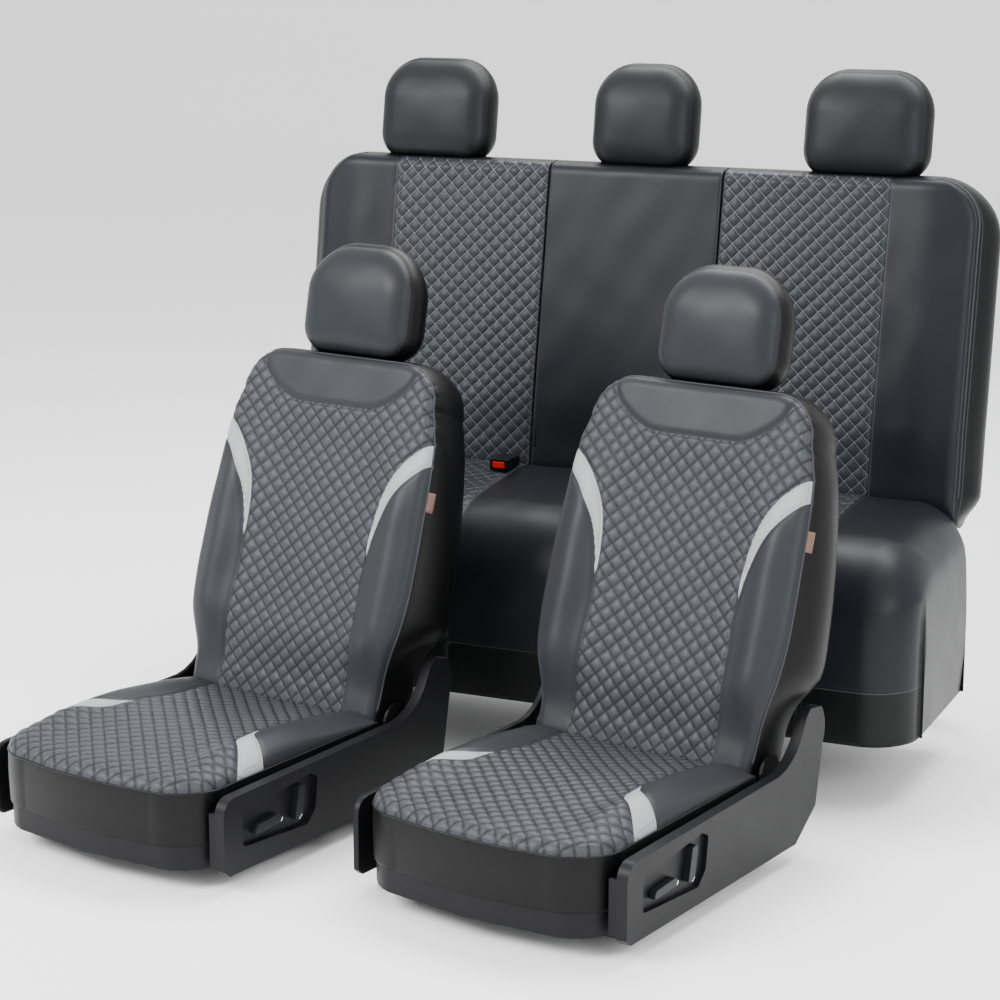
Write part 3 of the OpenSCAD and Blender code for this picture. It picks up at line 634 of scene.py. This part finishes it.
def dress_back(side):
    """The backrest cover, its piping and its blank tag."""
    to_row = back_frame(side + "_recline", side + "_headrest_height")
    grids, shares = slab(back_rows, (-front_half, front_half), (-rear_half, rear_half), back_front, back_rear,
                         back_swell, cols=112)
    values = {"pat": [], "quilt": [], "accent": [], "gusset": [], "seam": []}
    for number, (grid, share) in enumerate(zip(grids, shares)):
        x = grid[..., 0]
        u = grid[..., 2]
        values["pat"].append(np.stack([x, u, grid[..., 1]], -1))
        if number == 0:
            front_quilt, front_accent, yoke, seam, edge = back_fields(x, u)
            values["quilt"].append(front_quilt)
            values["accent"].append(front_accent)
            values["gusset"].append(-edge)
            values["seam"].append(np.minimum(seam, edge + 0.5))
        else:
            values["quilt"].append(carry(front_quilt, share, number))
            values["accent"].append(carry(front_accent, share, number))
            values["gusset"].append(110 * share)
            rear_side = np.abs((1 - share) * 110 + (number == 1) * 50)
            values["seam"].append(np.minimum(np.abs(share * 110), rear_side) + 0.5)
    mesh = join_grids(side + "_backrest_cover", grids, to_row, values)
    cover = add_piece(side + "_backrest_cover", mesh, front_cloth, "front_cover", side + "_back",
                      (side + "_back_cover", side + "_back_foam"))
    front_grid = grids[0]
    ring = np.vstack([front_grid[12:, 0], front_grid[-1, 1:-1], front_grid[12:, -1][::-1]])
    cord = join_grids(side + "_backrest_piping", [tube(ring - [0, 1.0, 0], 2.2)], to_row)
    add_piece(side + "_backrest_piping", cord, piping, "front_cover", side + "_back")
    row = int(np.argmin(np.abs(back_rows - 418)))
    edge_point = front_grid[row, -1]
    v, h = np.meshgrid(np.linspace(-19, 19, 9), np.linspace(0, 15, 7), indexing="ij")
    tag = np.stack([edge_point[0] + 1.5 + 7.0 * np.sin(h / 15 * 1.3) + 0.2 * np.cos(v / 7),
                    edge_point[1] - 1 + h * 0.9, edge_point[2] + v], -1)
    tag_grids = [tag, tag + [1.2, -0.4, 0]]
    rims = (np.s_[0], np.s_[-1], np.s_[:, 0], np.s_[:, -1])
    rim = [np.stack([tag_grids[0][a], tag_grids[1][a]]) for a in rims]
    mesh = join_grids(side + "_side_tag", tag_grids + rim, to_row)
    add_piece(side + "_side_tag", mesh, tag_cloth, "front_cover", side + "_back")
    return cover


for side in ("driver", "passenger"):
    cover = dress_back(side)
    print(cover.name, len(cover.data.polygons), "faces")

# %% [markdown]
# ## Front cushion cover
# One long strip from the rear crease over the top and down the front skirt, and a skirt wall on each
# side. The quilt fills the middle, and a pale crescent curls in from each front corner.

# %% Cushion shape
CUSHION_HALF = 247.0
CUSHION_REACH = 265.0
SKIRT_Z = 84.0
SEAM_Z = 181.0
cushion_profile = spline([(-265, 84), (-266, 110), (-267, 140), (-266, 168), (-264, 181), (-258, 192), (-244, 200),
                          (-215, 204), (-170, 206), (-110, 210), (-40, 214), (40, 212), (112, 205), (200, 195),
                          (262, 188), (279, 184), (283, 172), (281, 150), (286, 124), (286, 84)], 10)
cushion_x = CUSHION_HALF * np.sin(np.linspace(-1, 1, 131) * np.pi / 2 * 0.72) / math.sin(np.pi / 2 * 0.72)
crescent = np.vstack([spline([(153, 54), (158, 15), (161, -10), (170, -33), (184, -52), (212, -80), (247, -124),
                              (285, -180)]),
                      spline([(285, -90), (247, -52), (221, -30), (196, -14), (172, 14), (153, 54)])])
cushion_quilt = np.vstack([spline([(158, 330), (150, 190), (148, 128), (153, 54), (161, -10), (184, -52),
                                   (212, -80), (247, -124), (285, -180)]),
                           [(285, -330), (-200, -330), (-200, 330)]])


def plan_front(x):
    """Front outline of the cushion in plan: a bow with rounded corners."""
    ax = np.abs(x)
    bow = -CUSHION_REACH + 14 * (np.minimum(ax, 152) / 152) ** 2
    return bow + 95 - np.sqrt(np.clip(95 ** 2 - np.clip(ax - 152, 0, 95) ** 2, 0, None))


def dress_cushion(side):
    """The cushion cover: top, skirt and rear in one shell."""
    to_row = cushion_frame(side)
    path = cushion_profile
    step_len = np.concatenate([[0], np.cumsum(np.linalg.norm(np.diff(path, axis=0), axis=1))])
    even = np.linspace(0, step_len[-1], 190)
    py = np.interp(even, step_len, path[:, 0])[:, None]
    pz = np.interp(even, step_len, path[:, 1])[:, None]
    x = np.repeat(cushion_x[None, :], len(even), 0)
    front = plan_front(x)
    y = front + (py + CUSHION_REACH) * (286 - front) / (286 + CUSHION_REACH)
    ax = np.abs(x)
    top = smooth(pz, 168, 196) * (py < 281)
    p = np.stack([ax.ravel(), y.ravel()], -1)
    accent = inside(p, crescent).reshape(x.shape)
    quilt = inside(p, cushion_quilt).reshape(x.shape)
    seam_in = np.minimum(np.abs(accent), np.abs(quilt))
    bolster = 13 * np.exp(-((ax - 196) / 33) ** 2) * smooth(y, -235, -90)
    z = pz + top * (bolster - 4 * np.exp(-(ax / 95) ** 2) * smooth(y, -200, 0))
    z = z + top * (pillows(x, y) * smooth(quilt, -1, 9) - 2.4 * np.exp(-(seam_in / 3.5) ** 2) + slack(x, y))
    q = np.clip((ax - 196) / 51, 0, 1)
    low = np.minimum(pz, SEAM_Z)
    z = low + (z - low) * (1 - q ** 2.4) ** (1 / 2.4)
    strip = np.stack([x, y, z], -1)
    grids = [strip]
    seam_line = np.abs(even - np.interp(SEAM_Z, path[:40, 1], step_len[:40]))[:, None]
    gusset = np.where(pz < SEAM_Z, np.abs(SEAM_Z - pz) + 0.1, -np.minimum(seam_line, CUSHION_HALF - ax))
    gusset = np.where(py > 281, 5.0, gusset) + 0 * x
    seam = np.minimum(np.where(top > 0.3, seam_in, 60), np.minimum(seam_line, CUSHION_HALF - ax + 0.5) + 0 * x)
    values = {"pat": [np.stack([x, y, z], -1)], "quilt": [np.where(top > 0.2, quilt, -50)],
              "accent": [np.where(pz < SEAM_Z - 3, -50, accent)], "gusset": [gusset], "seam": [seam]}
    w = np.linspace(0, 1, 15)[None, :]
    for column in (0, -1):
        edge = strip[:, column]
        sign = -1 if column == 0 else 1
        drop = edge[:, 2][:, None]
        wall = np.stack([edge[:, 0][:, None] + sign * 5 * np.sin(np.pi * w) * smooth(drop, 84, 150),
                         edge[:, 1][:, None] + 0 * w, drop + (SKIRT_Z - drop) * w], -1)
        grids.append(wall)
        values["pat"].append(wall)
        values["quilt"].append(values["quilt"][0][:, column][:, None] - 400 * w)
        values["accent"].append(values["accent"][0][:, column][:, None] - 400 * w)
        values["gusset"].append(values["gusset"][0][:, column][:, None] + drop - wall[..., 2])
        values["seam"].append(0.5 + (drop - wall[..., 2]))
    under = np.stack([strip[0], strip[-1]])
    bottom = under[0][None] + (under[1] - under[0])[None] * np.linspace(0, 1, 3)[:, None, None]
    grids.append(bottom)
    values["pat"].append(bottom)
    for key, fill in (("quilt", -50.0), ("accent", -50.0), ("gusset", 50.0), ("seam", 50.0)):
        values[key].append(np.full(bottom.shape[:2], fill))
    mesh = join_grids(side + "_seat_cover", grids, to_row, values)
    cover = add_piece(side + "_seat_cover", mesh, front_cloth, "front_cover", side + "_cushion",
                      (side + "_cushion_cover", side + "_cushion_foam"))
    row = int(np.argmin(np.abs(even - np.interp(SEAM_Z, path[:40, 1], step_len[:40]))))
    ring = np.vstack([strip[row:-22, 0][::-1], strip[row, 1:-1], strip[row:-22, -1]])
    cord = join_grids(side + "_seat_piping", [tube(ring, 2.0)], to_row)
    add_piece(side + "_seat_piping", cord, dark_piping, "front_cover", side + "_cushion")
    return cover


for side in ("driver", "passenger"):
    cover = dress_cushion(side)
    print(cover.name, len(cover.data.polygons), "faces")

# %% [markdown]
# ## Headrest covers
# A headrest is a small slab with big top corners. Its front is a smooth panel and its gusset is darker.
# The front ones lean 12 degrees more than the cushion, and the rear ones stand in line with the backrest.

# %% Headrests


def dress_headrest(name, to_row, half_w, half_h, half_t, radii, body, slot_name, material, nodes):
    """A padded headrest cover about (0, 0, 0) of its frame, with (bottom, top) corner radii."""
    low, high = radii
    a = np.linspace(0, np.pi / 2, 13)
    rows = np.concatenate([-half_h + low * (1 - np.cos(a)), np.linspace(-half_h + low, half_h - high, 26)[1:-1],
                           half_h - high + high * np.sin(a)])
    drop = np.where(rows < -half_h + low, rows + half_h - low, 0) + np.where(rows > half_h - high,
                                                                            rows - half_h + high, 0)
    r = np.where(rows < 0, low, high)
    half = half_w - 9 - r + np.sqrt(np.clip(r * r - drop * drop, 0, None))
    loop = np.vstack([np.stack([half, rows], -1), np.stack([-half, rows], -1)[::-1]])

    def edge_of(x, u):
        return np.clip(inside(np.stack([x.ravel(), u.ravel()], -1), loop), 0, None).reshape(x.shape)

    def front(x, u):
        """A crowned panel that leans back a little at the top."""
        crown = 12 * (1 - (x / half_w) ** 2) * (1 - (u / half_h) ** 2)
        return -half_t + 13 - crown + 9 * smooth(u, 20, half_h) + roll(edge_of(x, u), 44, 22) + slack(x, u, 0.7)

    def rear(x, u):
        return half_t - 4 - 6 * smooth(u, 10, half_h) - roll(edge_of(x, u), 24, 15) + slack(x, u, 0.5)

    grids, shares = slab(rows, (-half, half), (-half, half), front, rear, np.full(len(rows), 9.0), cols=56, wall=13)
    values = {"pat": [], "quilt": [], "accent": [], "gusset": [], "seam": []}
    for number, (grid, share) in enumerate(zip(grids, shares)):
        x = grid[..., 0]
        u = grid[..., 2]
        edge = edge_of(x, u) if number < 2 else share * 0
        wide = np.minimum(share, 1 - share) * 2 * half_t
        values["pat"].append(np.stack([x, u, grid[..., 1]], -1))
        values["quilt"].append(np.full(x.shape, -50.0))
        values["accent"].append(np.full(x.shape, -50.0))
        values["gusset"].append(-edge if number == 0 else share * 2 * half_t)
        values["seam"].append((edge if number < 2 else wide) + 0.6)
    cover = add_piece(name, join_grids(name, grids, to_row, values), material, slot_name, body, nodes)
    return cover


front_head_cloth = cover_material("coated_cloth_head_grey", "1f2125", "1f2125", "333438", "1f2125", "08080a",
                                  0.40, stitch=False)
lean = math.radians(12)
for side in ("driver", "passenger"):
    seat = cushion_frame(side)

    def to_head(points, seat=seat):
        """Headrest coordinates to the row: tipped back by lean about its centre."""
        x, t, u = np.moveaxis(np.asarray(points, float), -1, 0)
        y = 578 + t * math.cos(lean) + u * math.sin(lean)
        return seat(np.stack([x, y, 926 - t * math.sin(lean) + u * math.cos(lean)], -1))

    dress_headrest(side + "_headrest_dress", to_head, 135, 105, 53, (50, 94), side + "_headrest", "headrest_cover",
                   front_head_cloth, (side + "_headrest_cover", side + "_headrest_foam"))

# %% [markdown]
# ## Rear bench
# The backrest is in three parts that fold one by one. A smooth middle panel stands between two quilted
# split. The zips are not drawn; each part has a cover of its own. The cushion is one long cover.

# %% Rear backrests
REAR_LEN = 640.0
rear_climb = np.linspace(0, np.pi / 2, 9)
rear_rows = np.concatenate([-60 * np.cos(rear_climb), np.linspace(0, REAR_LEN - 92, 96)[1:],
                            REAR_LEN - 92 + 92 * np.sin(np.linspace(0, np.pi / 2, 22)[1:])])
arc = 92 - np.sqrt(np.clip(92 ** 2 - np.clip(rear_rows - REAR_LEN + 92, 0, None) ** 2, 0, None))


def rear_front(x, u):
    """Depth of the rear row's front panel at set x and height u."""
    ax = np.abs(x)
    t = -np.sqrt(np.clip(60 ** 2 - np.minimum(u, 0) ** 2, 0, None)) - 6 * smooth(u, 30, 140)
    seam = np.minimum(np.abs(ax - 196), np.abs(ax - 553))
    quilt = np.minimum(ax - 196, 553 - ax)
    high = smooth(u, 0, 30)
    t = t - high * (pillows(x, u) * smooth(quilt, -1, 9) - 2.4 * np.exp(-(seam / 3.5) ** 2) + slack(x, u, 0.5))
    t = t - 9 * np.exp(-((ax - 640) / 60) ** 2) * smooth(u, 20, 140)
    end = np.minimum(REAR_LEN - u, np.where(ax > 600, 738 - np.interp(u, rear_rows, arc) - ax, 99))
    return t + roll(np.clip(end, 0, None), 24, 18) * smooth(u, -60, -5)


def rear_rear(x, u):
    """Depth of the rear row's back panel."""
    t = np.sqrt(np.clip(60 ** 2 - np.minimum(u, 0) ** 2, 0, None)) - 12 * smooth(u, 0, 600)
    return t - roll(np.clip(REAR_LEN - u, 0, None), 20, 14) + 0 * x


def dress_rear(part, left, right, left_swell, right_swell):
    """One part of the rear backrest between set x left and right, given for every row."""
    name = "rear_" + part
    to_row = back_frame(name + "_fold", name + "_headrest_height")
    grids, shares = slab(rear_rows, (left, right), (left, right), rear_front, rear_rear,
                         np.maximum(left_swell, right_swell) * smooth(rear_rows, -60, 10)
                         * (1 - 0.74 * smooth(rear_rows, 520, 640)), cols=90, wall=11)
    for index, size in ((2, left_swell), (3, right_swell)):
        if size == 0:
            f = grids[0][:, 0 if index == 2 else -1][:, None, :]
            r = grids[1][:, 0 if index == 2 else -1][:, None, :]
            grids[index] = f + (r - f) * np.linspace(0, 1, 11)[None, :, None]
    for index in (4, 5):
        f = grids[0][-1 if index == 4 else 0][:, None, :]
        r = grids[1][-1 if index == 4 else 0][:, None, :]
        w = np.linspace(0, 1, 11)[None, :, None]
        grids[index] = f + (r - f) * w + np.sin(np.pi * w) * [0, 0, 9 if index == 4 else -1]
    values = {"pat": [], "quilt": [], "accent": [], "gusset": [], "seam": []}
    for number, (grid, share) in enumerate(zip(grids, shares)):
        x = grid[..., 0]
        u = grid[..., 2]
        ax = np.abs(x)
        front = number == 0
        values["pat"].append(np.stack([x, u, grid[..., 1]], -1))
        end = np.minimum(REAR_LEN - u, np.where(ax > 600, 738 - np.interp(u, rear_rows, arc) - ax, 99))
        if front:
            front_quilt = np.minimum(ax - 196, 553 - ax)
        values["quilt"].append(front_quilt if front else carry(front_quilt, share, number))
        values["accent"].append(x * 0 - 50)
        to_rim = np.minimum(end, np.abs(ax - 195.5) - 1.5)
        values["gusset"].append(-np.clip(to_rim, 0, None) if front else share * 100)
        seam = np.minimum(np.abs(ax - 196), np.abs(ax - 553))
        values["seam"].append(np.minimum(seam, np.clip(end, 0, None)) + 0.4 if front else share * 100 + 0.4)
    cover = add_piece(name + "_backrest_cover", join_grids(name + "_backrest_cover", grids, to_row, values),
                      rear_cloth, "rear_cover", name + "_back", (name + "_back_cover", name + "_back_foam"))
    line = grids[0][8:, -1] if right_swell else grids[0][8:, 0]
    if left_swell or right_swell:
        cord = join_grids(name + "_piping", [tube(line - [0, 1, 0], 2.4)], to_row)
        add_piece(name + "_piping", cord, piping, "rear_cover", name + "_back")
    return cover


outer = 738 - arc
flat_edge = np.full(len(rear_rows), 197.0)
dress_rear("left", flat_edge, outer, 0, 34)
dress_rear("right", -outer, -flat_edge, 34, 0)
dress_rear("centre", -flat_edge + 3, flat_edge - 3, 0, 0)
for part, middle, half_w in (("left", 485, 134), ("centre", 0, 118), ("right", -485, 134)):
    name = "rear_" + part
    to_back = back_frame(name + "_fold", name + "_headrest_height")

    def to_rear_head(points, to_back=to_back, middle=middle):
        """Headrest coordinates to the row, through the backrest's frame."""
        return to_back(np.asarray(points, float) + [middle, -23, 748])

    dress_headrest(name + "_headrest_dress", to_rear_head, half_w, 103, 53, (48, 80), name + "_headrest",
                   "headrest_cover", head_cloth, (name + "_headrest_cover", name + "_headrest_foam"))

# %% Rear cushion
bench_path = spline([(641, 122), (640, 170), (640, 240), (640, 300), (641, 332), (650, 392), (680, 445), (720, 480),
                     (770, 500), (811, 505), (880, 510), (960, 516), (1020, 518), (1056, 514), (1066, 500),
                     (1067, 460), (1067, 300), (1067, 122)], 12)
bench_len = np.concatenate([[0], np.cumsum(np.linalg.norm(np.diff(bench_path, axis=0), axis=1))])
bench_even = np.linspace(0, bench_len[-1], 150)
bench_y = np.interp(bench_even, bench_len, bench_path[:, 0])[:, None]
bench_z = np.interp(bench_even, bench_len, bench_path[:, 1])[:, None]
bench_x = 766 * np.sin(np.linspace(-1, 1, 241) * 1.25)[None, :] / math.sin(1.25)
bench_ax = np.abs(bench_x)
plan = 640 + 100 - np.sqrt(np.clip(100 ** 2 - np.clip(bench_ax - 666, 0, 100) ** 2, 0, None))
grid_y = plan + (bench_y - 640) * (1067 - plan) / 427
x2 = bench_x + 0 * bench_y
ax2 = np.abs(x2)
bench_quilt = np.minimum(np.minimum(ax2 - 196, 553 - ax2), 1052 - grid_y) + 0 * x2
bench_seam = np.minimum(np.abs(ax2 - 196), np.abs(ax2 - 553))
q = np.clip((ax2 - 660) / 106, 0, 1)
tall = np.minimum(bench_z, 400)
grid_z = tall + (bench_z - tall) * np.sqrt(1 - q * q * 0.999)
relief = pillows(x2, bench_even[:, None] + 0 * x2) * smooth(bench_quilt, -1, 9)
relief = relief - 2.4 * np.exp(-(bench_seam / 3.5) ** 2) + slack(x2, bench_even[:, None] + 0 * x2, 0.6)
path_dy = np.gradient(bench_y[:, 0])[:, None]
path_dz = np.gradient(bench_z[:, 0])[:, None]
path_len = np.sqrt(path_dy ** 2 + path_dz ** 2)
live = smooth(bench_z, 130, 200) * (bench_y < 1060) * (1 - q)
strip = np.stack([x2, grid_y - path_dz / path_len * relief * live,
                  grid_z + path_dy / path_len * relief * live], -1)
bench_grids = [strip]
bench_even2 = bench_even[:, None] + 0 * x2
bench_values = {"pat": [np.stack([x2, bench_even2, x2 * 0], -1)],
                "quilt": [np.where((bench_z > 232) & (bench_y < 1060), bench_quilt, -50)],
                "accent": [x2 * 0 - 50], "gusset": [np.maximum(232 - bench_z, 0.6 - 768 + ax2)],
                "seam": [np.minimum(bench_seam, np.abs(bench_z - 232)) + 0.3]}
w = np.linspace(0, 1, 15)[None, :]
for column in (0, -1):
    edge = strip[:, column]
    wall = np.stack([edge[:, 0][:, None] + 0 * w, edge[:, 1][:, None] + 0 * w,
                     edge[:, 2][:, None] + (122 - edge[:, 2][:, None]) * w], -1)
    wall[..., 0] += (1 if column else -1) * 6 * np.sin(np.pi * w)
    bench_grids.append(wall)
    for key, fill in (("quilt", -50.0), ("accent", -50.0), ("gusset", 20.0), ("seam", 40.0)):
        bench_values[key].append(np.full(wall.shape[:2], fill))
    bench_values["pat"].append(wall)
under = strip[0][None] + (strip[-1] - strip[0])[None] * np.linspace(0, 1, 3)[:, None, None]
bench_grids.append(under)
for key, fill in (("quilt", -50.0), ("accent", -50.0), ("gusset", 20.0), ("seam", 40.0)):
    bench_values[key].append(np.full(under.shape[:2], fill))
bench_values["pat"].append(under)
to_bench = frame_of([0, -0.5151, 0], [1, 0, 0], [0, 1, 0], [0, 0, 1])
bench_cover = add_piece("rear_bench_cover", join_grids("rear_bench_cover", bench_grids, to_bench, bench_values),
                        rear_cloth, "rear_cover", "floor_frame", ("rear_cushion_cover", "rear_cushion_foam"))
print("bench", len(bench_cover.data.polygons), "faces")

# %% [markdown]
# ## Moulded parts
# The valances, switches, guides and buckle keep the CAD model's shape. Their edges get a moulded radius
# of 0.8 to 6 mm, which catches the light.

# %% Moulded parts


def moulded(node, name, radius, material, slot_name, body):
    """The CAD node's shape with rounded edges, as a piece that stands for the node."""
    source = frame["nodes"][node]
    mesh = source.data.copy()
    mesh.name = name
    mesh.materials.clear()
    mesh.transform(source.matrix_world)
    work = bmesh.new()
    work.from_mesh(mesh)
    bmesh.ops.remove_doubles(work, verts=work.verts, dist=2e-5)
    bmesh.ops.dissolve_limit(work, angle_limit=math.radians(2), verts=work.verts, edges=work.edges)
    sharp = [e for e in work.edges if e.is_manifold and e.calc_face_angle() > math.radians(35)]
    bmesh.ops.bevel(work, geom=sharp, offset=radius * MM, segments=3, profile=0.5, affect="EDGES",
                    clamp_overlap=True)
    bmesh.ops.triangulate(work, faces=[f for f in work.faces if len(f.verts) > 4])
    for face in work.faces:
        face.smooth = True
    work.to_mesh(mesh)
    work.free()
    mesh.set_sharp_from_angle(angle=math.radians(38))
    piece = add_piece(name, mesh, material, slot_name, body, (node,))
    even = piece.modifiers.new("even_normals", "WEIGHTED_NORMAL")
    even.keep_sharp = True
    return piece


for side in ("driver", "passenger"):
    for node, radius, material, slot_name, body in (
            ("front_trim", 2.0, valance_plastic, "side_plastic", "cushion"),
            ("outer_valance", 6.0, valance_plastic, "side_plastic", "cushion"),
            ("inner_valance", 6.0, valance_plastic, "side_plastic", "cushion"),
            ("seat_switch", 1.6, switch_plastic, "switch_plastic", "seat_knob"),
            ("recline_switch", 1.6, switch_plastic, "switch_plastic", "recline_knob"),
            ("post_guides", 1.0, switch_plastic, "switch_plastic", "back")):
        moulded(side + "_" + node, side + "_" + node + "_moulding", radius, material, slot_name, side + "_" + body)

# %% [markdown]
# Each switch has a bright trim along its lower edge: a rod 2.2 mm thick on the outer face.

# %% Bright trims on the switches
for side in ("driver", "passenger"):
    seat = cushion_frame(side)
    for node, body in (("seat_switch", "seat_knob"), ("recline_switch", "recline_knob")):
        source = frame["nodes"][side + "_" + node]
        corners = np.empty(3 * len(source.data.vertices))
        source.data.vertices.foreach_get("co", corners)
        turn = np.array(source.matrix_world)
        corners = corners.reshape(-1, 3) @ turn[:3, :3].T + turn[:3, 3]
        start = seat(np.zeros(3))
        axes = np.stack([seat(np.eye(3)[i]) - start for i in range(3)]) / MM
        local = (corners - start) @ axes.T / MM
        outer_face = local[local[:, 0] > local[:, 0].max() - 0.5]
        order = outer_face[:, 2] - 0.25 * outer_face[:, 1]
        low_end = outer_face[np.argsort(order)][: max(4, len(outer_face) // 3)]
        ends = np.stack([low_end[np.argmin(low_end[:, 1])], low_end[np.argmax(low_end[:, 1])]])
        line = ends[0] + (ends[1] - ends[0]) * np.linspace(0.08, 0.92, 12)[:, None] + [0.1, 0, 1.0]
        trim = join_grids(side + "_" + node + "_trim", [tube(line, 1.1)], seat)
        add_piece(side + "_" + node + "_trim", trim, chrome, "switch_plastic", side + "_" + body)

# %% Buckle
moulded("rear_buckle", "rear_buckle_moulding", 1.2, buckle_plastic, "switch_plastic", "floor_frame")
moulded("rear_buckle_button", "rear_buckle_button_moulding", 0.8, red_plastic, "button_red", "buckle_button")

# %% [markdown]
# ## Bare CAD parts
# Frames, rails, posts and straps show as they are in the CAD model, in their own finishes.

# %% Finishes on bare CAD parts
finishes = {"foam": foam, "frame_steel": frame_steel, "rail_steel": rail_steel, "post_chrome": chrome,
            "elastic": elastic, "switch_plastic": switch_plastic, "side_plastic": valance_plastic,
            "front_cover": front_cloth, "rear_cover": rear_cloth, "headrest_cover": head_cloth,
            "button_red": red_plastic}
for name, node in frame["nodes"].items():
    for spot in node.material_slots:
        key = spot.material.name.split(".")[0] if spot.material else ""
        if key in finishes:
            spot.material = finishes[key]
